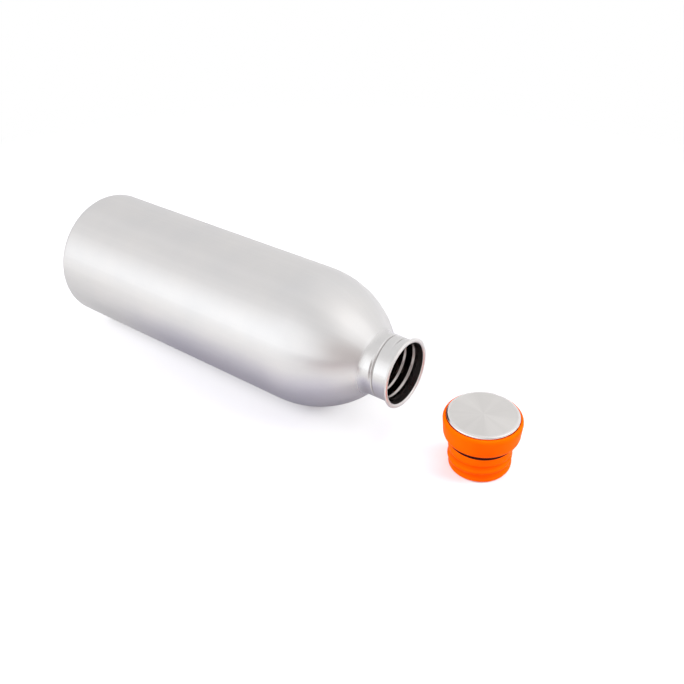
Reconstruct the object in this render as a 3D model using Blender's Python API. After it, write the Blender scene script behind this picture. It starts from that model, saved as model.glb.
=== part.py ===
"""Stainless steel water bottle lying on its side, with its screw stopper standing before the mouth."""
import math

import bmesh
import bpy
from mathutils import Vector

# Facets round every turned piece, flat side down on the lying bottle
SEGMENTS = 40
ROWS_PER_TURN = 8
SMOOTH_ANGLE = math.radians(38)

# Clearances between pieces that touch in the real thing, and of the plug in the neck
SEAT_GAP = 0.0003
CREST_CLEARANCE = 0.0004
ROOT_CLEARANCE = 0.00015

# Steel bottle, lengths along its axis from the standing face
BODY_RADIUS = 0.0325
BOTTLE_LENGTH = 0.192
SHEET = 0.0005
CORNER_RADIUS = 0.003
FOOT_RING_WIDTH = 0.0045
SHOULDER_LENGTH = 0.0405
NECK_LENGTH = 0.013
NECK_RADIUS = 0.0144
FILLET_RADIUS = 0.0047
LIP_REACH = 0.0022
LIP_THICKNESS = 0.0014
LIP_HEEL = 0.0001

# Base plate pressed into the foot ring
PLATE_LAP = 0.0042
PLATE_RECESS = 0.0035
PLATE_RAMP = 0.0042
PLATE_CLEARANCE = 0.0006
PLATE_CROWN = 0.0007

# Thread rolled into the neck, met by the ridge on the plug
THREAD_PITCH = 0.0045
RIDGE_HEIGHT = 0.0007
GROOVE_DEPTH = 0.0005
RIDGE_HALF_WIDTH = 0.0013
NECK_THREAD_SETBACK = 0.0114
NECK_THREAD_ANGLE = math.radians(-120)
NECK_THREAD_TURNS = 1.74
PLUG_THREAD_RISE = 0.0023
PLUG_THREAD_ANGLE = math.radians(-41)
PLUG_THREAD_TURNS = 1.75
THREAD_FADE = 0.14
THREAD_RUNOUT = 0.0006

# Stopper, heights from the foot it stands on
PLUG_LENGTH = 0.016
HEAD_HEIGHT = 0.0098
HEAD_OVERHANG = 0.0007
HEAD_TAPER = 0.0004
HEAD_ROUNDING = 0.003
HEAD_UNDERCUT = 0.0012
RIM_DROP = 0.0018
EDGE_BREAK = 0.0003
EDGE_SOFTENING = 0.0001
PLUG_WALL = 0.0016
PLUG_FOOT_ROUNDING = 0.001
CAVITY_DRAFT = 0.0005
CAVITY_ROUNDING = 0.001
CEILING = 0.0025
COLLAR_HEIGHT = 0.0026
COLLAR_RAMP = 0.0005

# Seal ring in its groove under the head
SEAL_GROOVE_HEIGHT = 0.0028
SEAL_GROOVE_DEPTH = 0.0009
SEAL_PROUD = 0.0001

# Steel disc let into the head, on an adhesive pad
RECESS_DEPTH = 0.0014
RIM_WIDTH = 0.0011
DISC_SHEET = 0.0006
DISC_PROUD = 0.0009
DISC_ROUNDING = 0.0006

# Where the stopper stands, from the bottle's standing face and axis
STOPPER_DISTANCE = 0.2288
STOPPER_OFFSET = 0.0019

# Sizes that follow
FLAT = math.cos(math.pi / SEGMENTS)
BORE_RADIUS = NECK_RADIUS - SHEET
FOOT_EDGE = BODY_RADIUS - CORNER_RADIUS - FOOT_RING_WIDTH
NECK_START = BOTTLE_LENGTH - NECK_LENGTH
SHOULDER_START = NECK_START - SHOULDER_LENGTH
LIP_BACK = BOTTLE_LENGTH - LIP_THICKNESS - LIP_HEEL
CREST_RADIUS = BORE_RADIUS - CREST_CLEARANCE
ROOT_RADIUS = BORE_RADIUS - RIDGE_HEIGHT - ROOT_CLEARANCE
HEAD_RADIUS = BORE_RADIUS + LIP_REACH + HEAD_OVERHANG
HEAD_TOP = PLUG_LENGTH + HEAD_HEIGHT
RECESS_RADIUS = HEAD_RADIUS - RIM_WIDTH
RECESS_FLOOR = HEAD_TOP - RECESS_DEPTH
DISC_RADIUS = RECESS_RADIUS - SEAT_GAP
DISC_TOP = HEAD_TOP + DISC_PROUD
REACH = STOPPER_DISTANCE + HEAD_RADIUS * FLAT
BOTTLE_PLACE = Vector((-REACH / 2, 0, BODY_RADIUS * FLAT))
STOPPER_PLACE = Vector((STOPPER_DISTANCE - REACH / 2, STOPPER_OFFSET, 0))


def facet_angle(index):
    """Angle of one corner of the facets, with a flat side facing each way along the axes."""
    return 2 * math.pi * (index + 0.5) / SEGMENTS


def spot(lying, along, radius, angle):
    """Point at a distance along the axis, the axis being X for lying pieces and Z for upright ones."""
    across, over = radius * math.cos(angle), radius * math.sin(angle)
    return Vector((along, across, over)) if lying else Vector((across, over, along))


def circle(mesh, lying, along, radius):
    """Ring of vertices, or one vertex where the profile meets the axis."""
    if radius == 0:
        return [mesh.verts.new(spot(lying, along, 0, 0))]
    return [mesh.verts.new(spot(lying, along, radius, facet_angle(i))) for i in range(SEGMENTS)]


def strip(mesh, first, second):
    """Plain faces between two rings."""
    for i in range(SEGMENTS):
        j = (i + 1) % SEGMENTS
        if len(first) == 1:
            mesh.faces.new((first[0], second[i], second[j]))
        elif len(second) == 1:
            mesh.faces.new((first[i], first[j], second[0]))
        else:
            mesh.faces.new((first[i], first[j], second[j], second[i]))


def helical_strip(mesh, lying, first, second, start, rows, radius_at):
    """Faces between two rings whose rows climb with the thread."""
    columns_per_row = SEGMENTS // ROWS_PER_TURN
    step = THREAD_PITCH / ROWS_PER_TURN
    columns = []
    for i in range(SEGMENTS):
        share = (i % columns_per_row) / columns_per_row
        column = [first[i]]
        for row in range(0 if share else 1, rows):
            along = start + step * (row + share)
            angle = facet_angle(i)
            column.append(mesh.verts.new(spot(lying, along, radius_at(along, angle), angle)))
        column.append(second[i])
        columns.append(column)
    for i in range(SEGMENTS):
        left, right = columns[i], columns[(i + 1) % SEGMENTS]
        shift = 0
        if len(right) > len(left):
            mesh.faces.new((left[0], right[0], right[1]))
            shift = 1
        for k in range(min(len(left), len(right)) - 1):
            mesh.faces.new((left[k], left[k + 1], right[k + 1 + shift], right[k + shift]))
        if len(left) > len(right):
            mesh.faces.new((left[-2], left[-1], right[-1]))


def ridge_share(along, angle, start, start_angle, turns):
    """Share of the full ridge height at one spot, from none beside the ridge to one on its crest."""
    bearing = (angle - start_angle) / (2 * math.pi)
    turn = bearing + round((along - start) / THREAD_PITCH - bearing)
    aside = abs(along - start - THREAD_PITCH * turn) / RIDGE_HALF_WIDTH
    fade = min(turn, turns - turn) / THREAD_FADE
    if aside >= 1 or fade <= 0:
        return 0
    fade = min(fade, 1)
    return 0.5 * (1 + math.cos(math.pi * aside)) * fade * fade * (3 - 2 * fade)


def oval(along, radius, length, width, start, stop, steps):
    """Profile points on an elliptical arc, angles in degrees from the axis direction."""
    angles = [math.radians(start + (stop - start) * k / steps) for k in range(steps + 1)]
    return [(along + length * math.cos(a), radius + width * math.sin(a)) for a in angles]


def arc(along, radius, size, start, stop, steps):
    """Profile points on a round arc."""
    return oval(along, radius, size, size, start, stop, steps)


def sheet_side(profile, depth):
    """Other face of a sheet, each profile point moved square to the run of its neighbours."""
    moved = []
    for k in range(len(profile)):
        before, after = profile[max(k - 1, 0)], profile[min(k + 1, len(profile) - 1)]
        run, climb = after[0] - before[0], after[1] - before[1]
        share = depth / math.hypot(run, climb)
        moved.append((profile[k][0] + climb * share, profile[k][1] - run * share))
    return moved


def finish(name, mesh, place, colour, metallic, roughness):
    """Object with its own material, facing out, shaded smooth but for its corners."""
    bmesh.ops.recalc_face_normals(mesh, faces=mesh.faces)
    data = bpy.data.meshes.new(name)
    mesh.to_mesh(data)
    mesh.free()
    data.shade_smooth()
    data.set_sharp_from_angle(angle=SMOOTH_ANGLE)
    material = bpy.data.materials.new(name)
    material.use_nodes = True
    shader = material.node_tree.nodes["Principled BSDF"]
    shader.inputs["Base Color"].default_value = (*colour, 1)
    shader.inputs["Metallic"].default_value = metallic
    shader.inputs["Roughness"].default_value = roughness
    data.materials.append(material)
    thing = bpy.data.objects.new(name, data)
    thing.location = place
    bpy.context.scene.collection.objects.link(thing)
    return thing


def turned(mesh, lying, profile, closed):
    """Plain faces round the axis through every profile point."""
    rings = [circle(mesh, lying, *point) for point in profile]
    pairs = list(zip(rings, rings[1:]))
    if closed:
        pairs.append((rings[-1], rings[0]))
    for first, second in pairs:
        strip(mesh, first, second)
    return rings


def shell_skin(inset, corner_steps, shoulder_steps, fillet_steps):
    """Profile of the body from the foot ring to the neck, at a depth below the outside."""
    bend = 2 * math.atan((BODY_RADIUS - NECK_RADIUS) / SHOULDER_LENGTH)
    dome = SHOULDER_LENGTH / math.sin(bend) - FILLET_RADIUS
    lean = math.degrees(bend)
    corner = arc(CORNER_RADIUS, BODY_RADIUS - CORNER_RADIUS, CORNER_RADIUS - inset, 180, 90, corner_steps)
    shoulder = arc(SHOULDER_START, BODY_RADIUS - dome, dome - inset, 90, 90 - lean, shoulder_steps)
    fillet = arc(NECK_START, NECK_RADIUS + FILLET_RADIUS, FILLET_RADIUS + inset, 270 - lean, 270, fillet_steps)
    return corner + shoulder + fillet[1:]


def lip_hem():
    """Profile of the sheet folded outwards at the mouth; the two foremost points make its flat land."""
    thick, reach = LIP_THICKNESS / 2, LIP_REACH / 2
    points = [(LIP_BACK, NECK_RADIUS)]
    for degrees in (205, 180, 150, 120, 90, 60, 35, 15, -15, -40, -65, -90):
        ahead = 1 if abs(degrees) == 15 else math.cos(math.radians(degrees))
        beside = math.sin(math.radians(degrees))
        points.append((BOTTLE_LENGTH - thick + thick * ahead, BORE_RADIUS + reach + reach * beside))
    return points


def bottle_body():
    """Steel shell with its foot ring, rolled thread and folded lip."""
    mesh = bmesh.new()
    step = THREAD_PITCH / ROWS_PER_TURN
    start = NECK_START + EDGE_BREAK
    rows = int((LIP_BACK - EDGE_BREAK - start) / step)
    end = start + rows * step
    thread = (BOTTLE_LENGTH - NECK_THREAD_SETBACK, NECK_THREAD_ANGLE, NECK_THREAD_TURNS)

    def wall(radius, depth):
        return lambda along, angle: radius - depth * ridge_share(along, angle, *thread)

    outside = [(0, FOOT_EDGE)] + shell_skin(0, 5, 10, 4) + [(start, NECK_RADIUS)]
    mouth = [(end, NECK_RADIUS)] + lip_hem() + [(end, BORE_RADIUS)]
    inside = [(start, BORE_RADIUS)] + shell_skin(SHEET, 3, 8, 4)[::-1] + [(SHEET, FOOT_EDGE)]

    first = turned(mesh, True, outside, False)
    middle = turned(mesh, True, mouth, False)
    last = turned(mesh, True, inside, False)
    helical_strip(mesh, True, first[-1], middle[0], start, rows, wall(NECK_RADIUS, GROOVE_DEPTH))
    helical_strip(mesh, True, last[0], middle[-1], start, rows, wall(BORE_RADIUS, RIDGE_HEIGHT))
    strip(mesh, last[-1], first[0])
    return finish("bottle_body", mesh, BOTTLE_PLACE, (0.66, 0.65, 0.65), 1, 0.3)


def base_plate():
    """Pressed plate lapped behind the foot ring and dished towards the inside."""
    seat = SHEET + SEAT_GAP
    dish = FOOT_EDGE - PLATE_CLEARANCE
    under = []
    for share in (1, 0.75, 0.5, 0.25, 0):
        depth = (PLATE_RECESS - seat) * share * share * (3 - 2 * share)
        under.append((seat + depth, dish - PLATE_RAMP * share))
    under.append((seat, FOOT_EDGE + PLATE_LAP))
    over = sheet_side(under, SHEET)[::-1]
    crown = PLATE_RECESS + PLATE_CROWN
    mesh = bmesh.new()
    turned(mesh, True, [(crown, 0)] + under + over + [(crown + SHEET, 0)], False)
    return finish("base_plate", mesh, BOTTLE_PLACE, (0.6, 0.6, 0.6), 1, 0.35)


def stopper_shell():
    """Orange moulding: a chamfered head over a hollow threaded plug."""
    step = THREAD_PITCH / ROWS_PER_TURN
    groove_floor = PLUG_LENGTH - SEAL_GROOVE_HEIGHT
    groove_radius = CREST_RADIUS + SEAL_PROUD - SEAL_GROOVE_DEPTH - SEAT_GAP
    collar_foot = groove_floor - COLLAR_HEIGHT
    start = PLUG_FOOT_ROUNDING + THREAD_RUNOUT
    rows = int((collar_foot - start) / step)
    end = start + rows * step
    waist = HEAD_RADIUS - HEAD_TAPER
    cavity_radius = ROOT_RADIUS - PLUG_WALL

    def radius_at(along, angle):
        share = ridge_share(along, angle, PLUG_THREAD_RISE, PLUG_THREAD_ANGLE, PLUG_THREAD_TURNS)
        return ROOT_RADIUS + (CREST_RADIUS - ROOT_RADIUS) * share

    collar = end + COLLAR_RAMP
    ceiling = RECESS_FLOOR - CEILING
    above = [(end, ROOT_RADIUS), (collar, CREST_RADIUS - EDGE_BREAK), (collar + EDGE_BREAK, CREST_RADIUS),
             (groove_floor - EDGE_BREAK, CREST_RADIUS), (groove_floor, CREST_RADIUS - EDGE_BREAK),
             (groove_floor, groove_radius), (PLUG_LENGTH, groove_radius)]
    head_foot = PLUG_LENGTH + HEAD_ROUNDING
    above += oval(head_foot, waist - HEAD_UNDERCUT, HEAD_ROUNDING, HEAD_UNDERCUT, 180, 90, 4)
    rim = RIM_WIDTH - EDGE_SOFTENING
    above += oval(HEAD_TOP - RIM_DROP, HEAD_RADIUS - rim, RIM_DROP, rim, 90, 0, 4)
    above += [(HEAD_TOP - EDGE_SOFTENING, RECESS_RADIUS), (RECESS_FLOOR, RECESS_RADIUS), (RECESS_FLOOR, 0)]
    foot = ROOT_RADIUS - PLUG_FOOT_ROUNDING
    below = [(ceiling, 0), (ceiling, cavity_radius - CAVITY_DRAFT - CAVITY_ROUNDING),
             (ceiling - CAVITY_ROUNDING, cavity_radius - CAVITY_DRAFT), (0, cavity_radius)]
    below += arc(PLUG_FOOT_ROUNDING, foot, PLUG_FOOT_ROUNDING, 180, 90, 4) + [(start, ROOT_RADIUS)]

    mesh = bmesh.new()
    upper = turned(mesh, False, above, False)
    lower = turned(mesh, False, below, False)
    helical_strip(mesh, False, lower[-1], upper[0], start, rows, radius_at)
    return finish("stopper_shell", mesh, STOPPER_PLACE, (0.9, 0.15, 0.005), 0, 0.4)


def stopper_disc():
    """Thin steel disc with a rounded edge and a short turned-down skirt."""
    underside = DISC_TOP - DISC_SHEET
    skirt_foot = RECESS_FLOOR + SEAT_GAP
    profile = [(DISC_TOP, 0)]
    profile += arc(DISC_TOP - DISC_ROUNDING, DISC_RADIUS - DISC_ROUNDING, DISC_ROUNDING, 0, 90, 4)
    profile += [(skirt_foot, DISC_RADIUS), (skirt_foot, DISC_RADIUS - DISC_SHEET),
                (underside - EDGE_SOFTENING, DISC_RADIUS - DISC_SHEET),
                (underside, DISC_RADIUS - DISC_SHEET - EDGE_SOFTENING), (underside, 0)]
    mesh = bmesh.new()
    turned(mesh, False, profile, False)
    return finish("stopper_disc", mesh, STOPPER_PLACE, (0.7, 0.69, 0.68), 1, 0.25)


def disc_pad():
    """Adhesive pad between the disc and the floor of its recess."""
    radius = DISC_RADIUS - DISC_SHEET - 2 * SEAT_GAP
    foot = RECESS_FLOOR + SEAT_GAP
    top = DISC_TOP - DISC_SHEET - SEAT_GAP
    mesh = bmesh.new()
    turned(mesh, False, [(foot, 0), (foot, radius), (top, radius), (top, 0)], False)
    return finish("disc_pad", mesh, STOPPER_PLACE, (0.75, 0.75, 0.72), 0, 0.8)


def seal_ring():
    """Rubber ring seated in the groove under the stopper's head."""
    low = PLUG_LENGTH - SEAL_GROOVE_HEIGHT + SEAT_GAP
    high = PLUG_LENGTH - SEAT_GAP
    outer = CREST_RADIUS + SEAL_PROUD
    inner = outer - SEAL_GROOVE_DEPTH
    mesh = bmesh.new()
    turned(mesh, False, [(low, inner), (low, outer - EDGE_BREAK), (low + EDGE_BREAK, outer),
                         (high - EDGE_BREAK, outer), (high, outer - EDGE_BREAK), (high, inner)], True)
    return finish("seal_ring", mesh, STOPPER_PLACE, (0.12, 0.02, 0.01), 0, 0.6)


for leftover in list(bpy.data.objects):
    bpy.data.objects.remove(leftover, do_unlink=True)
bottle_body()
base_plate()
stopper_shell()
stopper_disc()
disc_pad()
seal_ring()
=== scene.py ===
"""Steel water bottle lying on its side, with its orange screw stopper standing before the mouth."""
import math

import bmesh
import bpy
from mathutils import Euler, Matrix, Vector

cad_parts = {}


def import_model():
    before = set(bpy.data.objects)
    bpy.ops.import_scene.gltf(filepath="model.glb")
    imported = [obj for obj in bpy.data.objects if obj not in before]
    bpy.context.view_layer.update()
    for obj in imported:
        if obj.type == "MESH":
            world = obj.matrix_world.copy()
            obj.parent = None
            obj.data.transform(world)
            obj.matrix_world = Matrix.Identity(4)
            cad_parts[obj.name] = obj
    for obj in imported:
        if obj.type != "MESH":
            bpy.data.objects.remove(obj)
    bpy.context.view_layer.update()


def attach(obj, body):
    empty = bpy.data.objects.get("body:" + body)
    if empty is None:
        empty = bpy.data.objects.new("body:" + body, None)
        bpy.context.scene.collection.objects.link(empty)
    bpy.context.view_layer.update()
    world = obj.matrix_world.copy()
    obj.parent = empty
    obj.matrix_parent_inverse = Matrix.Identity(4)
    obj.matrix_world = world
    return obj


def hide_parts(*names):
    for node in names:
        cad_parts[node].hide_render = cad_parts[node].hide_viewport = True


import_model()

MM = 0.001

# Camera, fitted to the outlines of the photographed bottle and stopper: metres, degrees and millimetres
CAMERA_PLACE = (0.222, -0.24637, 0.24601)
CAMERA_TURN = (55.754, 0.807, 36.708)
CAMERA_LENS = 43.899

# Sizes in millimetres: those of the solids, with a few tuned to the photograph. Radii reach the corners
# between the solids' 40 facets, and FLAT brings them in to the facets' middles, where the round meshes lie
FLAT = math.cos(math.pi / 40)
BODY_RADIUS = 32.5
BOTTLE_LENGTH = 192
SHEET = 0.5
CORNER_RADIUS = 3
FOOT_EDGE = 25
SHOULDER_LENGTH = 40.5
NECK_LENGTH = 13
NECK_RADIUS = 14.4
BORE_RADIUS = NECK_RADIUS - SHEET
FILLET_RADIUS = 4.7
NECK_START = BOTTLE_LENGTH - NECK_LENGTH
SHOULDER_START = NECK_START - SHOULDER_LENGTH
LIP_REACH = 2.2
LIP_THICKNESS = 1.4
LIP_INSET = 0.25
LIP_HEEL = 0.1
LIP_BACK = BOTTLE_LENGTH - LIP_THICKNESS - LIP_HEEL
FLARE_LENGTH = 3
NECK_MARGIN = 0.1
ROW_SPACING = 0.12
PLATE_INSET = 0.6
PLATE_SEAT = 0.8
PLATE_LAP = 4.2
PLATE_RECESS = 3.5
PLATE_RAMP = 4.2
PLATE_CROWN = 0.7
PLATE_ROUNDING = 0.1
RAMP_STEPS = 16
PITCH = 4.5
RIDGE_HEIGHT = 0.7
GROOVE_DEPTH = 0.5
RIDGE_HALF_WIDTH = 1.3
THREAD_FADE = 0.14
NECK_THREAD = (BOTTLE_LENGTH - 11.7, math.radians(-120), 1.74)
NECK_GROOVE = (BOTTLE_LENGTH - 12.4, math.radians(-120), 1.66)
SHORT_GROOVE = (BOTTLE_LENGTH - 10.6, math.radians(124), 0.18)
GROOVE_HALF_WIDTH = 0.7
PLUG_THREAD = (1.8, math.radians(-41), 1.75)
PLUG_WAVE = 2.2
CREST_RADIUS = 13.75
ROOT_RADIUS = 13.12
PLUG_LENGTH = 16
PLUG_WALL = 1.6
PLUG_FOOT_ROUNDING = 1
THREAD_TOP = 8.2
COLLAR_RAMP = (8.6, 9.7)
COLLAR_TOP = 13.2
SEAL_SEAT = 12.4
SEAL_LOW = 13.25
SEAL_HIGH = 15.7
SEAL_OUTER = 13.85
SEAL_INNER = 12.7
HEAD_RADIUS = 16.8
HEAD_FLOOR = 2.5
HEAD_ROUNDING = 3
HEAD_UNDERCUT = 1.2
RIM_TOP = 25.6
RIM_DROP = 1.8
WAIST_RADIUS = 16.4
RECESS_RADIUS = 15.7
RECESS_FLOOR = 24.4
DISC_RADIUS = 15.4
DISC_TOP = 26.7
DISC_SHEET = 0.6
DISC_ROUNDING = 0.9
SKIRT_BOTTOM = RECESS_FLOOR + 0.3
PAD_TOP = DISC_TOP - 0.9
PAD_MARGIN = 1.2

# Places of the bottle's base and of the stopper's foot on their axes, in metres
BOTTLE_PLACE = Vector((-0.122774, 0, BODY_RADIUS * FLAT * MM))
STOPPER_PLACE = Vector((0.106026, 0.0019, 0))

# Sides that every turned piece has
SEGMENTS = 224

# Painted shade that darkens the hollows of the two threads, and the heights in millimetres between which the
# plug's painted shade sets in
GROOVE_PAINTED_SHADE = (0.66, 0.65, 0.64, 1)
TROUGH_PAINTED_SHADE = (1, 0.74, 0.5, 1)
TROUGH_SHADE_RISE = (1.8, 3.4)

# Floor as the camera sees it: its colour, the share of plain white in it near the object, the painted light
# that lifts the object's shadow under the shoulder, and the places in metres where the first share grows to
# all of it and where the painted light rises and falls. Here and below, "along" runs to the mouth and
# "before" to the front, from the frame's origin
FLOOR_COLOUR = (0.755, 0.76, 0.785, 1)
FLOOR_SEEN = 0.12
PAINTED_LIGHT_UNDER_SHOULDER = 0.53
WHITE_REACH = (0.18, 0.42)
SHOULDER_LIGHT_PATCH = (0.018, 0.042, 0.052, 0.075)

# Floor as it throws light back on matt surfaces
FLOOR_BOUNCE = (0.38, 0.36, 0.34, 1)

# Floor as metal mirrors it: its colours near the bottle, darker there as painted shadow, and far off, and the
# stretches over which one passes into the other, as (way, start, stop) in metres
FLOOR_NEAR_SHADOW = (0.325, 0.318, 0.378)
FLOOR_FAR = (0.49, 0.493, 0.488, 1)
FLOOR_BLENDS = [
    ("before", 0.02, 0.11),
    ("before", -0.03, -0.14),
    ("along", -0.046, -0.126),
    ("along", 0.03, 0.1),
]

# The fan in front of the bottle that sideways places are measured in: its growth forwards and its start
ASIDE_SPREAD = (3.0, 0.4)

# Painted shade on the mirrored floor, as (start, stop, tone at start, tone at stop): close before the bottle,
# a painted contact shadow, and to the left. The shade lies in front and to the right, and deepens along its
# two stretches
NEAR_SHADOW_TONE = (0.015, 0.055, 0.86, 1.02)
LEFT_SHADE_TONE = (-0.08, -0.2, 1.0, 0.86)
FLOOR_SHADE = (-0.37, -0.45, -0.45)
SHADE_REACH = (0.03, 0.2)
SHADE_SIDE = (0.02, 0.17)

# Glow of the mirrored floor: its strength, and as (start, stop, share at start, share at stop) its rise in
# front, what is left of that rise to the right and to the left, and its share near the bottle and behind it
GLARE_STRENGTH = 1.3
GLARE_RISE = (0.0, 0.45, 0.0, 0.95)
GLARE_RIGHT = (0.09, -0.15, 0.0, 1.0)
GLARE_LEFT = (-0.1, -0.38, 1.0, 0.52)
GLARE_BEHIND = (-0.15, -0.6, 0.05, 0.62)

# Room: its level on matt surfaces, the level and tint of its walls as metal mirrors them, and their patches,
# as (azimuth, elevation, reach in degrees, change of level)
ROOM_MATT = (0.61, 0.585, 0.68, 1)
ROOM_LEVEL = 0.88
ROOM_TINT = (1.0, 0.99, 0.985)
ROOM_PATCHES = [
    (350, 13, 52, (0.415, 0.43, 0.445)),
    (324, 14, 22, (0.09, 0.1, 0.11)),
    (316, -6, 40, (0.18, 0.195, 0.21)),
    (300, 40, 46, (0.09, 0.09, 0.09)),
    (106, 44, 37, (0.3, 0.3, 0.3)),
    (140, 35, 80, (0.15, 0.15, 0.15)),
    (55, 12, 34, (-0.19, -0.24, -0.25)),
    (96, 0, 34, (-0.26, -0.29, -0.29)),
]

# Lamps, as (name, place, point that it faces, width, height, power in watts, colour)
LAMPS = [
    ("overhead", (0.12, 0.42, 0.95), (0, 0, 0), 0.8, 0.8, 5.0, (1, 0.985, 0.92)),
    ("right_side", (0.74, 0.4, 0.42), (0.1, 0, 0.01), 0.5, 0.4, 9.0, (1, 0.99, 0.95)),
    ("left_side", (-0.5, -0.42, 0.4), (0.1, 0, 0.01), 0.4, 0.3, 6.0, (1, 0.99, 0.95)),
    ("front_high", (0.35, -0.75, 0.55), (0.1, 0, 0.01), 0.4, 0.4, 4.0, (1, 0.98, 0.95)),
]


def make_camera():
    """Camera at the photograph's viewing angle."""
    data = bpy.data.cameras.new("camera")
    data.sensor_width = 36
    data.lens = CAMERA_LENS
    data.clip_start = 0.01
    data.clip_end = 50
    camera = bpy.data.objects.new("camera", data)
    camera.location = CAMERA_PLACE
    camera.rotation_euler = Euler([math.radians(a) for a in CAMERA_TURN])
    bpy.context.scene.collection.objects.link(camera)
    bpy.context.scene.camera = camera


# Profiles: points of distance along the axis and radius, in millimetres

def arc(along, radius, length, width, start, stop, steps):
    """Points on an elliptical arc, angles in degrees from the axis direction."""
    angles = [math.radians(start + (stop - start) * k / steps) for k in range(steps + 1)]
    return [(along + length * math.cos(a), radius + width * math.sin(a)) for a in angles]


def straight(first, last, steps):
    """Points between two others, the first one left out."""
    return [tuple(a + (b - a) * k / steps for a, b in zip(first, last)) for k in range(1, steps + 1)]


def close_rows(start, stop, radius):
    """Close rows of points along a threaded stretch."""
    steps = round(abs(stop - start) / ROW_SPACING)
    return [(start + (stop - start) * k / steps, radius) for k in range(steps + 1)]


def rounded(corners, steps=4):
    """Points along straight runs whose corners, given as (along, radius, size), are rounded."""
    points = []
    for k, (along, radius, size) in enumerate(corners):
        here = Vector((along, radius))
        if size == 0 or k in (0, len(corners) - 1):
            points.append((along, radius))
            continue
        before, after = (Vector(corners[n][:2]) - here for n in (k - 1, k + 1))
        reach = min(size, 0.49 * before.length, 0.49 * after.length)
        enter, leave = here + before.normalized() * reach, here + after.normalized() * reach
        for n in range(steps + 1):
            t = n / steps
            points.append(tuple(enter * (1 - t) ** 2 + here * 2 * t * (1 - t) + leave * t * t))
    return points


def ridge_share(along, angle, thread, half_width):
    """Share of the ridge's full height at one spot: none beside it, one on its crest."""
    start, start_angle, turns = thread
    bearing = (angle - start_angle) / (2 * math.pi)
    turn = bearing + round((along - start) / PITCH - bearing)
    aside = abs(along - start - PITCH * turn) / half_width
    fade = min(turn, turns - turn) / THREAD_FADE
    if aside >= 1 or fade <= 0:
        return 0
    fade = min(fade, 1)
    return 0.5 * (1 + math.cos(math.pi * aside)) * fade * fade * (3 - 2 * fade)


def turned(name, lying, stretches, closed, materials, sharp=50):
    """Piece turned about its axis. A stretch is (points, material index, relief); relief is a function of
    distance along the axis and angle that gives the change of radius there, or None."""
    mesh = bmesh.new()
    layer = mesh.verts.layers.float.new("travel")
    rings, travel, last = [], 0, None
    for points, index, relief in stretches:
        for along, radius in points:
            if last and math.dist(last, (along, radius)) < 1e-6:
                continue
            travel += math.dist(last, (along, radius)) if last else 0
            last = (along, radius)
            ring = []
            for k in range(SEGMENTS if radius else 1):
                angle = 2 * math.pi * k / SEGMENTS
                size = (radius + (relief(along, angle) if relief else 0)) * FLAT * MM
                across, over = size * math.cos(angle), size * math.sin(angle)
                spot = (along * MM, across, over) if lying else (across, over, along * MM)
                vertex = mesh.verts.new(spot)
                vertex[layer] = travel
                ring.append(vertex)
            rings.append((ring, index))
    pairs = list(zip(rings, rings[1:]))
    if closed:
        pairs.append((rings[-1], rings[0]))
    for (first, _), (second, index) in pairs:
        for k in range(SEGMENTS):
            n = (k + 1) % SEGMENTS
            if len(first) == 1:
                face = mesh.faces.new((first[0], second[k], second[n]))
            elif len(second) == 1:
                face = mesh.faces.new((first[k], first[n], second[0]))
            else:
                face = mesh.faces.new((first[k], first[n], second[n], second[k]))
            face.material_index = index
    bmesh.ops.recalc_face_normals(mesh, faces=mesh.faces)
    data = bpy.data.meshes.new(name)
    mesh.to_mesh(data)
    mesh.free()
    data.shade_smooth()
    data.set_sharp_from_angle(angle=math.radians(sharp))
    for material in materials:
        data.materials.append(material)
    piece = bpy.data.objects.new(name, data)
    piece.location = BOTTLE_PLACE if lying else STOPPER_PLACE
    bpy.context.scene.collection.objects.link(piece)
    return piece


# Materials

WHITE = (1, 1, 1, 1)

# Factors that keep the two coordinates beside an axis
BESIDE = {"X": (0, 1, 1), "Z": (1, 1, 0)}

# Brushed marks: how fast the coarse and the fine ones change round the axis, how much closer the fine ones
# lie, the scale of the mottle, the depth of the marks in metres, and the ranges of noise that colours and the
# painted sheen are spread over
LINE_ACROSS = 1.2
FINE_ACROSS = 5.0
FINE_RATIO = 3.1
MOTTLE_SCALE = 38.0
LINE_DEPTH = 0.00004
NOISE_RANGE = (0.3, 0.7)
SHEEN_RAY_RANGE = (0.35, 0.65)

# Depth in metres of the grain of plastic and of rubber
PLASTIC_GRAIN = 0.00005
RUBBER_GRAIN = 0.00008


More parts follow.
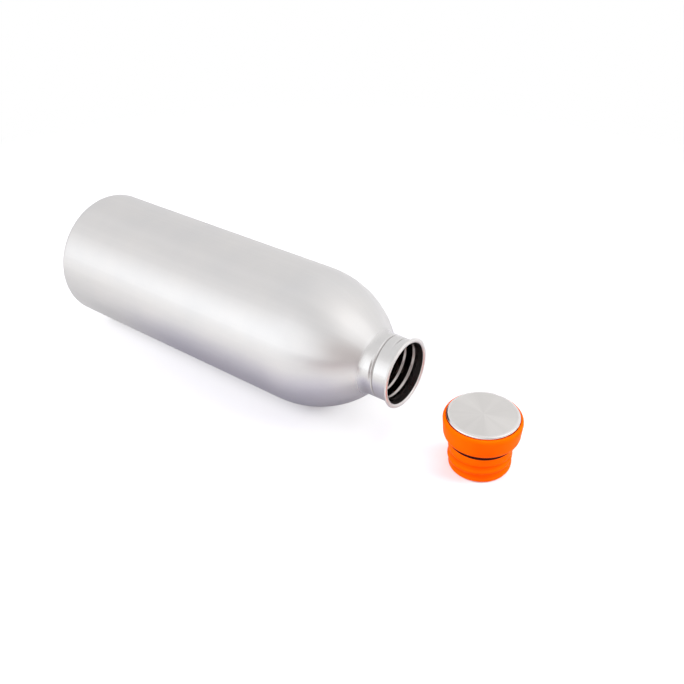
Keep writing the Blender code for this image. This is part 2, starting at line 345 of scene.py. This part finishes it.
class Maker:
    """Short way to add and link the nodes of one material or world."""

    def __init__(self, owner, shader):
        self.owner = owner
        owner.use_nodes = True
        self.tree = owner.node_tree
        self.shader = self.tree.nodes[shader]

    def node(self, kind, settings=None, **links):
        made = self.tree.nodes.new(kind)
        for key, value in (settings or {}).items():
            if hasattr(made, key):
                setattr(made, key, value)
            else:
                made.inputs[key].default_value = value
        for key, value in links.items():
            self.feed(made.inputs[int(key[1:]) if key[0] == "n" and key[1:].isdigit() else key], value)
        return made

    def feed(self, socket, value):
        if hasattr(value, "outputs"):
            value = value.outputs[0]
        if isinstance(value, bpy.types.NodeSocket):
            self.tree.links.new(value, socket)
        else:
            socket.default_value = value

    def math(self, operation, first, second=0.0, third=0.0):
        made = self.node("ShaderNodeMath", {"operation": operation})
        for socket, value in zip(made.inputs, (first, second, third)):
            self.feed(socket, value)
        return made.outputs[0]

    def noise(self, vector, scale, detail=3.0, roughness=0.5):
        made = self.node("ShaderNodeTexNoise", {"Scale": scale, "Detail": detail, "Roughness": roughness})
        self.feed(made.inputs["Vector"], vector)
        return made.outputs["Fac"]

    def span(self, value, low, high, out_low, out_high, kind="LINEAR"):
        """Value carried from low..high to out_low..out_high, and held at both ends."""
        made = self.node("ShaderNodeMapRange", {"interpolation_type": kind, "From Min": low, "From Max": high,
                                                "To Min": out_low, "To Max": out_high})
        self.feed(made.inputs["Value"], value)
        return made.outputs["Result"]

    def smooth(self, value, low, high, out_low, out_high):
        """Same as span, eased at both ends."""
        return self.span(value, low, high, out_low, out_high, "SMOOTHSTEP")

    def vector(self, operation, first, second=(0, 0, 0), third=(0, 0, 0)):
        made = self.node("ShaderNodeVectorMath", {"operation": operation})
        for socket, value in zip(made.inputs, (first, second, third)):
            self.feed(socket, value)
        return made.outputs["Value" if operation in ("DOT_PRODUCT", "LENGTH") else "Vector"]

    def mixed(self, share, first, second):
        made = self.node("ShaderNodeMix", {"data_type": "RGBA"})
        self.feed(made.inputs["Factor"], share)
        self.feed(made.inputs[6], first)
        self.feed(made.inputs[7], second)
        return made.outputs[2]

    def turned_place(self, axis, across=1.0, along=1.0):
        """Vector for marks round the axis: direction about it times across, and travel times along."""
        way = self.vector("MULTIPLY", self.object_place(), BESIDE[axis])
        travel = self.node("ShaderNodeAttribute", {"attribute_name": "travel"}).outputs["Fac"]
        step = self.node("ShaderNodeCombineXYZ", None, **{axis: self.math("MULTIPLY", travel, along)})
        return self.vector("MULTIPLY_ADD", self.vector("NORMALIZE", way), (across, across, across), step)

    def object_place(self):
        return self.node("ShaderNodeTexCoord").outputs["Object"]

    def coordinates(self):
        return self.node("ShaderNodeSeparateXYZ", None, n0=self.object_place()).outputs

    def hollow_shade(self, axis, root, crest, start, stop):
        """Share of painted shade in a thread's hollows: it rises from none on the crest's radius to one on
        the root's, and from start to stop along the axis, all in millimetres."""
        radius = self.vector("LENGTH", self.vector("MULTIPLY", self.object_place(), BESIDE[axis]))
        along = self.coordinates()[axis]
        deep = self.smooth(radius, crest * FLAT * MM, root * FLAT * MM, 0.0, 1.0)
        return self.math("MULTIPLY", deep, self.smooth(along, start * MM, stop * MM, 0.0, 1.0))

    def bump(self, height, strength, distance, base=None):
        made = self.node("ShaderNodeBump", {"Strength": strength, "Distance": distance})
        self.feed(made.inputs["Height"], height)
        if base is not None:
            self.feed(made.inputs["Normal"], base)
        return made.outputs["Normal"]

    def set(self, **values):
        for key, value in values.items():
            self.feed(self.shader.inputs[key.replace("_", " ")], value)


def steel(name, axis, colour, dark, roughness, spread, anisotropy, line_scale, line_strength, polish_and_shade=(),
          painted_sheen_rays=None, hollow_shade=None):
    """Brushed sheet metal: marks round the axis, a soft mottle, and a roughness that follows both. Polish
    lists (start, stop, drop in roughness, tone), the first two in metres along the axis; a tone below one
    darkens the metal from stop on, as painted shade where it is used on the bore inside the mouth. Rays are
    (fineness, share) of a change of tone with the direction about the axis, painted sheen in place of the
    streaks that brushed metal reflects. Hollow takes the same values as the Maker's share for thread hollows,
    and that share lays painted shade in the groove."""
    make = Maker(bpy.data.materials.new(name), "Principled BSDF")
    lines = make.noise(make.turned_place(axis, LINE_ACROSS, line_scale), 1.0, 4.0, 0.65)
    fine = make.noise(make.turned_place(axis, FINE_ACROSS, line_scale * FINE_RATIO), 1.0, 2.0, 0.6)
    mottle = make.noise(make.object_place(), MOTTLE_SCALE, 4.0, 0.55)
    both = make.math("ADD", make.math("MULTIPLY", lines, 0.6), make.math("MULTIPLY", fine, 0.4))
    cloud = make.math("ADD", make.math("MULTIPLY", mottle, 0.7), make.math("MULTIPLY", both, 0.3))
    tint = make.mixed(make.span(cloud, *NOISE_RANGE, 0.0, 1.0), (*dark, 1), (*colour, 1))
    if painted_sheen_rays:
        fineness, share = painted_sheen_rays
        painted_sheen = make.noise(make.turned_place(axis, fineness, 0.0), 1.0, 2.0, 0.5)
        tint = make.vector("MULTIPLY", tint, make.span(painted_sheen, *SHEEN_RAY_RANGE, 1 - share, 1 + share))
    place = make.coordinates()[axis]
    for start, stop, _, tone in polish_and_shade:
        tint = make.vector("MULTIPLY", tint, make.span(place, start, stop, 1.0, tone))
    # Painted shade in the thread's groove: the colour darkens there
    if hollow_shade:
        painted_groove_shade = make.mixed(make.hollow_shade(axis, *hollow_shade), WHITE, GROOVE_PAINTED_SHADE)
        tint = make.vector("MULTIPLY", tint, painted_groove_shade)
    make.set(Base_Color=tint)
    rough = make.span(cloud, *NOISE_RANGE, roughness + spread, roughness - spread)
    for start, stop, drop, _ in polish_and_shade:
        rough = make.math("SUBTRACT", rough, make.span(place, start, stop, 0.0, drop))
    make.set(Roughness=rough)
    make.set(Normal=make.bump(both, line_strength, LINE_DEPTH))
    make.shader.inputs["Metallic"].default_value = 1.0
    if anisotropy:
        make.shader.inputs["Anisotropic"].default_value = anisotropy
        make.shader.inputs["Anisotropic Rotation"].default_value = 0.25
        tangent = make.node("ShaderNodeTangent", {"direction_type": "RADIAL", "axis": axis})
        make.set(Tangent=tangent.outputs[0])
    return make.owner


def plastic(name, colour, deep):
    """Moulded plastic: a slight mottle in the colour, and a fine grain in its gloss."""
    make = Maker(bpy.data.materials.new(name), "Principled BSDF")
    place = make.object_place()
    cloud = make.noise(place, 90.0, 3.0)
    grain = make.noise(place, 2600.0, 2.0)
    tint = make.mixed(make.span(cloud, *NOISE_RANGE, 0.0, 1.0), (*deep, 1), (*colour, 1))
    # Painted shade in the troughs of the plug's thread: green and blue are cut there, so the orange turns
    # deeper
    hollow_shade = make.hollow_shade("Z", ROOT_RADIUS, CREST_RADIUS, *TROUGH_SHADE_RISE)
    make.set(Base_Color=make.vector("MULTIPLY", tint, make.mixed(hollow_shade, WHITE, TROUGH_PAINTED_SHADE)))
    make.set(Roughness=make.span(cloud, *NOISE_RANGE, 0.3, 0.38))
    make.shader.inputs["IOR"].default_value = 1.35
    make.shader.inputs["Specular IOR Level"].default_value = 0.02
    make.set(Normal=make.bump(grain, 0.12, PLASTIC_GRAIN))
    make.shader.inputs["Subsurface Weight"].default_value = 0.05
    make.shader.inputs["Subsurface Radius"].default_value = (1.0, 0.35, 0.1)
    make.shader.inputs["Subsurface Scale"].default_value = 0.0015
    return make.owner


def rubber(name, colour, deep, roughness, scale):
    """Matt rubber or foam: a grainy surface of one tone."""
    make = Maker(bpy.data.materials.new(name), "Principled BSDF")
    grain = make.noise(make.object_place(), scale, 4.0, 0.6)
    make.set(Base_Color=make.mixed(make.span(grain, *NOISE_RANGE, 0.0, 1.0), (*deep, 1), (*colour, 1)))
    make.set(Roughness=make.span(grain, *NOISE_RANGE, roughness + 0.06, roughness - 0.06))
    make.set(Normal=make.bump(grain, 0.3, RUBBER_GRAIN))
    make.shader.inputs["Specular IOR Level"].default_value = 0.1
    return make.owner


# Pieces of the bottle

def skin(inset):
    """Three stretches of the body's profile at a depth below its outside: corner, shoulder and fillet."""
    bend = 2 * math.atan((BODY_RADIUS - NECK_RADIUS) / SHOULDER_LENGTH)
    dome = SHOULDER_LENGTH / math.sin(bend) - FILLET_RADIUS
    lean = math.degrees(bend)
    corner, bow, fillet = CORNER_RADIUS - inset, dome - inset, FILLET_RADIUS + inset
    first = arc(CORNER_RADIUS, BODY_RADIUS - CORNER_RADIUS, corner, corner, 180, 90, 14)
    middle = arc(SHOULDER_START, BODY_RADIUS - dome, bow, bow, 90, 90 - lean, 44)
    last = arc(NECK_START, NECK_RADIUS + FILLET_RADIUS, fillet, fillet, 270 - lean, 270, 14)
    return first + straight(first[-1], middle[0], 24) + middle[1:] + last[1:]


def lip():
    """Sheet folded outwards at the mouth, from behind the lip round to the bore."""
    thick, reach = LIP_THICKNESS / 2, (LIP_REACH - LIP_INSET) / 2
    middle = BORE_RADIUS + LIP_INSET + reach
    points = [(LIP_BACK, NECK_RADIUS)]
    for degrees in list(range(200, 20, -9)) + [15, 0, -15] + list(range(-24, -91, -9)):
        ahead = 1 if abs(degrees) <= 15 else math.cos(math.radians(degrees))
        beside = math.sin(math.radians(degrees))
        points.append((BOTTLE_LENGTH - thick + thick * ahead, middle + reach * beside))
    return points


def bottle_body(outside, inside, lip_finish):
    """Shell of the bottle, satin outside, and inside a darker steel as painted shade."""
    near, far = NECK_START + NECK_MARGIN, LIP_BACK - NECK_MARGIN

    def groove(along, angle):
        share = ridge_share(along, angle, NECK_GROOVE, GROOVE_HALF_WIDTH)
        short = 2 * ridge_share(along, angle, SHORT_GROOVE, 0.8 * GROOVE_HALF_WIDTH)
        return -GROOVE_DEPTH * max(share, short)

    def ridge(along, angle):
        flare = LIP_INSET * max(1 - (far - along) / FLARE_LENGTH, 0)
        return flare - RIDGE_HEIGHT * ridge_share(along, angle, NECK_THREAD, RIDGE_HALF_WIDTH)

    # The foot ring's inner edge is slightly rounded
    foot = [(0.25, FOOT_EDGE - 0.02), (0.07, FOOT_EDGE + 0.06), (0, FOOT_EDGE + 0.25)]
    stretches = [
        (foot + skin(0), 0, None),
        (close_rows(near, far, NECK_RADIUS), 0, groove),
        (lip(), 2, None),
        (close_rows(far, near, BORE_RADIUS), 1, ridge),
        (skin(SHEET)[::-1], 1, None),
        ([(SHEET, FOOT_EDGE + 0.1)], 1, None),
    ]
    piece = turned("bottle_shell", True, stretches, True, [outside, inside, lip_finish])
    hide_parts("bottle_body")
    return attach(piece, "bottle")


def base_plate(finish):
    """Pressed plate behind the foot ring, dished inwards."""
    dish = FOOT_EDGE - PLATE_INSET
    crown = PLATE_RECESS + PLATE_CROWN
    flat = dish - PLATE_RAMP
    under = [(crown - PLATE_CROWN * (r / flat) ** 2, r) for r in (0, 3, 6, 9, 12, 15, 18)]
    for k in range(RAMP_STEPS + 1):
        share = 1 - k / RAMP_STEPS
        depth = (PLATE_RECESS - PLATE_SEAT) * share * share * (3 - 2 * share)
        under.append((PLATE_SEAT + depth, dish - PLATE_RAMP * share))
    over = []
    for k in range(1, len(under)):
        (along, radius), before, after = under[k], under[k - 1], under[min(k + 1, len(under) - 1)]
        share = SHEET / math.dist(before, after)
        over.append((along + (after[1] - before[1]) * share, radius - (after[0] - before[0]) * share))
    edge, back, bevel = FOOT_EDGE + PLATE_LAP, PLATE_SEAT + SHEET, PLATE_ROUNDING
    rim = [(PLATE_SEAT, edge - bevel), (PLATE_SEAT + bevel, edge), (back - bevel, edge), (back, edge - bevel)]
    points = under + rim + over[::-1] + [(crown + SHEET, 0)]
    piece = turned("base_dish", True, [(points, 0, None)], False, [finish])
    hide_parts("base_plate")
    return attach(piece, "bottle")


# Pieces of the stopper

def stopper_shell(finish):
    """Orange moulding: rounded head over a hollow threaded plug."""
    cavity = ROOT_RADIUS - PLUG_WALL
    ceiling = RECESS_FLOOR - HEAD_FLOOR

    def ridge(along, angle):
        return (CREST_RADIUS - ROOT_RADIUS) * ridge_share(along, angle, PLUG_THREAD, PLUG_WAVE)

    inner = rounded([(ceiling, 0, 0), (ceiling, cavity - 0.5, 1), (0, cavity, 0.15), (0, cavity + 0.3, 0)], 6)
    bend = PLUG_FOOT_ROUNDING
    foot = arc(bend, ROOT_RADIUS - bend, bend, bend, 180, 90, 10)
    plug = close_rows(bend + 0.1, THREAD_TOP, ROOT_RADIUS)
    collar = rounded([(THREAD_TOP, ROOT_RADIUS, 0), (COLLAR_RAMP[0], ROOT_RADIUS, 0.6),
                      (COLLAR_RAMP[1], CREST_RADIUS, 0.6), (COLLAR_TOP, CREST_RADIUS, 0.3),
                      (COLLAR_TOP, SEAL_SEAT, 0.1), (PLUG_LENGTH, SEAL_SEAT, 0.1), (PLUG_LENGTH, 14.6, 0)])
    belly = arc(PLUG_LENGTH + HEAD_ROUNDING, WAIST_RADIUS - HEAD_UNDERCUT, HEAD_ROUNDING, HEAD_UNDERCUT,
                180, 90, 12)
    rim = arc(RIM_TOP - RIM_DROP, HEAD_RADIUS - 1, RIM_DROP, 1, 90, 0, 12)
    well = rounded([(RIM_TOP, RECESS_RADIUS + 0.08, 0), (RIM_TOP, RECESS_RADIUS, 0.12),
                    (RECESS_FLOOR, RECESS_RADIUS, 0.15), (RECESS_FLOOR, 0, 0)])
    stretches = [(inner, 0, None), (foot, 0, None), (plug, 0, ridge),
                 (collar + belly + straight(belly[-1], rim[0], 6) + rim + well, 0, None)]
    piece = turned("stopper_moulding", False, stretches, False, [finish])
    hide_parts("stopper_shell")
    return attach(piece, "stopper")


def stopper_disc(finish, edge_finish):
    """Spun steel disc with a bright rounded edge."""
    under, inner, bend = DISC_TOP - DISC_SHEET, DISC_RADIUS - DISC_SHEET, DISC_ROUNDING
    top = [(DISC_TOP, r) for r in (0, 1, 2.5, 5, 7.5, 10, 12.5, 14.2)]
    edge = arc(DISC_TOP - bend, DISC_RADIUS - bend, bend, bend, 0, 90, 14)
    lower = rounded([(DISC_TOP - bend - 0.1, DISC_RADIUS, 0), (SKIRT_BOTTOM, DISC_RADIUS, 0.1),
                     (SKIRT_BOTTOM, inner, 0.1), (under, inner, 0.15), (under, 0, 0)])
    piece = turned("stopper_top", False, [(top, 0, None), (edge, 1, None), (lower, 1, None)], False,
                   [finish, edge_finish])
    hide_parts("stopper_disc")
    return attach(piece, "stopper")


def disc_pad(finish):
    """Adhesive pad under the disc."""
    low, high, radius = SKIRT_BOTTOM, PAD_TOP, DISC_RADIUS - PAD_MARGIN
    points = rounded([(low, 0, 0), (low, radius, 0.1), (high, radius, 0.1), (high, 0, 0)])
    piece = turned("foam_pad", False, [(points, 0, None)], False, [finish])
    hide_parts("disc_pad")
    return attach(piece, "stopper")


def seal_ring(finish):
    """Rubber ring in its groove under the head; its near-black red is painted shade for the dark gap under
    the head.
    """
    low, high, outer, inner = SEAL_LOW, SEAL_HIGH, SEAL_OUTER, SEAL_INNER
    points = rounded([(low + 1, inner, 0), (low, inner, 0.2), (low, outer, 0.15), (high, outer, 0.4),
                      (high, inner, 0.2), (low + 1.1, inner, 0)], 5)
    piece = turned("rubber_seal", False, [(points, 0, None)], True, [finish])
    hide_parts("seal_ring")
    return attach(piece, "seal")


# Surroundings

def floor():
    """Wide pale floor that keeps the object's soft shadow."""
    mesh = bmesh.new()
    bmesh.ops.create_grid(mesh, x_segments=2, y_segments=2, size=8)
    data = bpy.data.meshes.new("floor")
    mesh.to_mesh(data)
    mesh.free()
    piece = bpy.data.objects.new("floor", data)
    piece.location = (0, 0, -0.0001)
    bpy.context.scene.collection.objects.link(piece)

    make = Maker(bpy.data.materials.new("floor"), "Material Output")
    make.tree.nodes.remove(make.tree.nodes["Principled BSDF"])
    path = make.node("ShaderNodeLightPath").outputs
    place = make.coordinates()
    along, before = place["X"], make.math("MULTIPLY", place["Y"], -1.0)
    ways = {"along": along, "before": before}
    spread = make.math("MULTIPLY_ADD", make.math("MAXIMUM", before, 0.0), *ASIDE_SPREAD)
    aside = make.math("DIVIDE", along, spread)

    # Colour in a mirror: near the bottle with its painted shadow and far off, with painted shade to the right
    # of the front and to the left
    far = 0.0
    for way, start, stop in FLOOR_BLENDS:
        far = make.math("MAXIMUM", far, make.smooth(ways[way], start, stop, 0.0, 1.0))
    near = make.vector("MULTIPLY", FLOOR_NEAR_SHADOW, make.smooth(before, *NEAR_SHADOW_TONE))
    reach = make.smooth(before, *SHADE_REACH, 0.0, 1.0)
    shade = make.math("MULTIPLY", reach, make.smooth(aside, *SHADE_SIDE, 0.0, 1.0))
    shade = make.vector("MULTIPLY_ADD", shade, FLOOR_SHADE, WHITE[:3])
    mirrored = make.vector("MULTIPLY", make.mixed(far, near, FLOOR_FAR), shade)
    mirrored = make.vector("MULTIPLY", mirrored, make.smooth(along, *LEFT_SHADE_TONE))
    seen = make.mixed(path["Is Glossy Ray"], FLOOR_COLOUR, mirrored)
    colour = make.mixed(path["Is Diffuse Ray"], seen, FLOOR_BOUNCE)
    plain = make.node("ShaderNodeBsdfDiffuse", None, Color=colour)

    # Share of the glow in a mirror, then as the camera sees it
    glare = make.math("MULTIPLY", make.smooth(before, *GLARE_RISE), make.smooth(aside, *GLARE_RIGHT))
    glare = make.math("MULTIPLY", glare, make.smooth(aside, *GLARE_LEFT))
    glare = make.math("ADD", glare, make.smooth(before, *GLARE_BEHIND))
    # Painted light under the shoulder, which lifts the object's shadow there as the camera sees it
    start, full, hold, stop = SHOULDER_LIGHT_PATCH
    under = make.math("MULTIPLY", make.smooth(along, start, full, 0.0, PAINTED_LIGHT_UNDER_SHOULDER),
                      make.smooth(along, hold, stop, 1.0, 0.0))
    away = make.vector("LENGTH", make.object_place())
    white = make.math("MAXIMUM", make.smooth(away, *WHITE_REACH, FLOOR_SEEN, 1.0), under)
    share = make.math("MULTIPLY", path["Is Camera Ray"], white)
    share = make.math("MULTIPLY_ADD", path["Is Glossy Ray"], glare, share)
    share = make.math("MAXIMUM", share, path["Is Transmission Ray"])
    strength = make.span(path["Is Glossy Ray"], 0.0, 1.0, 1.0, GLARE_STRENGTH)
    glow = make.node("ShaderNodeEmission", {"Color": WHITE}, Strength=strength)
    make.set(Surface=make.node("ShaderNodeMixShader", None, n0=share, n1=plain, n2=glow))
    data.materials.append(make.owner)


def heading(azimuth, elevation):
    """Direction at an azimuth from the front towards the mouth, and an elevation, in degrees."""
    a, e = math.radians(azimuth), math.radians(elevation)
    return (math.sin(a) * math.cos(e), -math.cos(a) * math.cos(e), math.sin(e))


def world():
    """Pale studio walls: softly brighter and darker by direction, and white where they are seen directly."""
    made = bpy.data.worlds.new("world")
    bpy.context.scene.world = made
    make = Maker(made, "Background")
    way = make.node("ShaderNodeTexCoord").outputs["Generated"]
    level = (ROOM_LEVEL,) * 3
    for azimuth, elevation, reach, change in ROOM_PATCHES:
        facing = make.vector("DOT_PRODUCT", way, heading(azimuth, elevation))
        share = make.smooth(facing, math.cos(math.radians(reach)), 1.0, 0.0, 1.0)
        level = make.vector("MULTIPLY_ADD", share, change, level)
    path = make.node("ShaderNodeLightPath").outputs
    walls = make.mixed(path["Is Glossy Ray"], ROOM_MATT, make.vector("MULTIPLY", level, ROOM_TINT))
    make.set(Color=make.vector("MAXIMUM", walls, path["Is Camera Ray"]))


def softbox(name, place, aim, width, height, power, colour):
    """Rectangular soft light turned towards a point; metal mirrors the walls instead of it."""
    data = bpy.data.lights.new(name, "AREA")
    data.shape = "RECTANGLE"
    data.size, data.size_y = width, height
    data.energy = power
    data.color = colour
    lamp = bpy.data.objects.new(name, data)
    lamp.location = place
    lamp.rotation_euler = (Vector(aim) - Vector(place)).to_track_quat("-Z", "Y").to_euler()
    lamp.visible_glossy = False
    bpy.context.scene.collection.objects.link(lamp)


make_camera()
scene = bpy.context.scene
scene.view_settings.view_transform = "Standard"

# Satin steel: painted sheen, faint streaks along the body by direction about the axis; painted shade in the
# neck's groove; a little darker on the neck
satin = steel("satin_steel", "X", (0.765, 0.752, 0.743), (0.706, 0.705, 0.71), 0.35, 0.02, 0.5, 9.0, 0.25,
              polish_and_shade=[(0.14, 0.168, 0.04, 1.0), (0.1748, 0.1785, 0.08, 0.96)], painted_sheen_rays=(9.0, 0.012),
              hollow_shade=(NECK_RADIUS - GROOVE_DEPTH, NECK_RADIUS - 0.05, NECK_START, NECK_START + 1))
# Inner steel: darker than the outside, and darker again just inside the mouth, as painted shade inside the
# bottle
shaded_inner_steel = steel("inner_steel", "X", (0.43, 0.4, 0.39), (0.34, 0.31, 0.3), 0.13, 0.03, 0.0, 6.0, 0.1,
             polish_and_shade=[(0.187, 0.1888, -0.16, 0.4)])
bright = steel("lip_steel", "X", (0.86, 0.845, 0.835), (0.78, 0.76, 0.75), 0.32, 0.03, 0.0, 12.0, 0.2)
pressed = steel("base_steel", "X", (0.68, 0.675, 0.67), (0.6, 0.6, 0.595), 0.34, 0.04, 0.5, 7.0, 0.35)
# Disc steel: painted sheen, lighter and darker sectors in place of the spun finish's reflections
spun = steel("disc_steel", "Z", (0.75, 0.735, 0.72), (0.7, 0.685, 0.67), 0.3, 0.03, 0.6, 10.0, 0.3,
             painted_sheen_rays=(1.7, 0.035))
spun_edge = steel("disc_edge_steel", "Z", (0.82, 0.81, 0.8), (0.76, 0.75, 0.74), 0.16, 0.02, 0.0, 14.0, 0.15)
orange = plastic("orange_plastic", (1.0, 0.118, 0.0004), (0.97, 0.106, 0.0003))
# Seal: near-black red, painted shade for the gap under the head
shade_dark_seal = rubber("seal_rubber", (0.03, 0.002, 0.001), (0.02, 0.001, 0.0005), 0.62, 1800.0)
foam = rubber("pad", (0.62, 0.61, 0.58), (0.5, 0.5, 0.48), 0.85, 1400.0)

bottle_body(satin, shaded_inner_steel, bright)
base_plate(pressed)
stopper_shell(orange)
stopper_disc(spun, spun_edge)
disc_pad(foam)
seal_ring(shade_dark_seal)

floor()
world()
for lamp in LAMPS:
    softbox(*lamp)
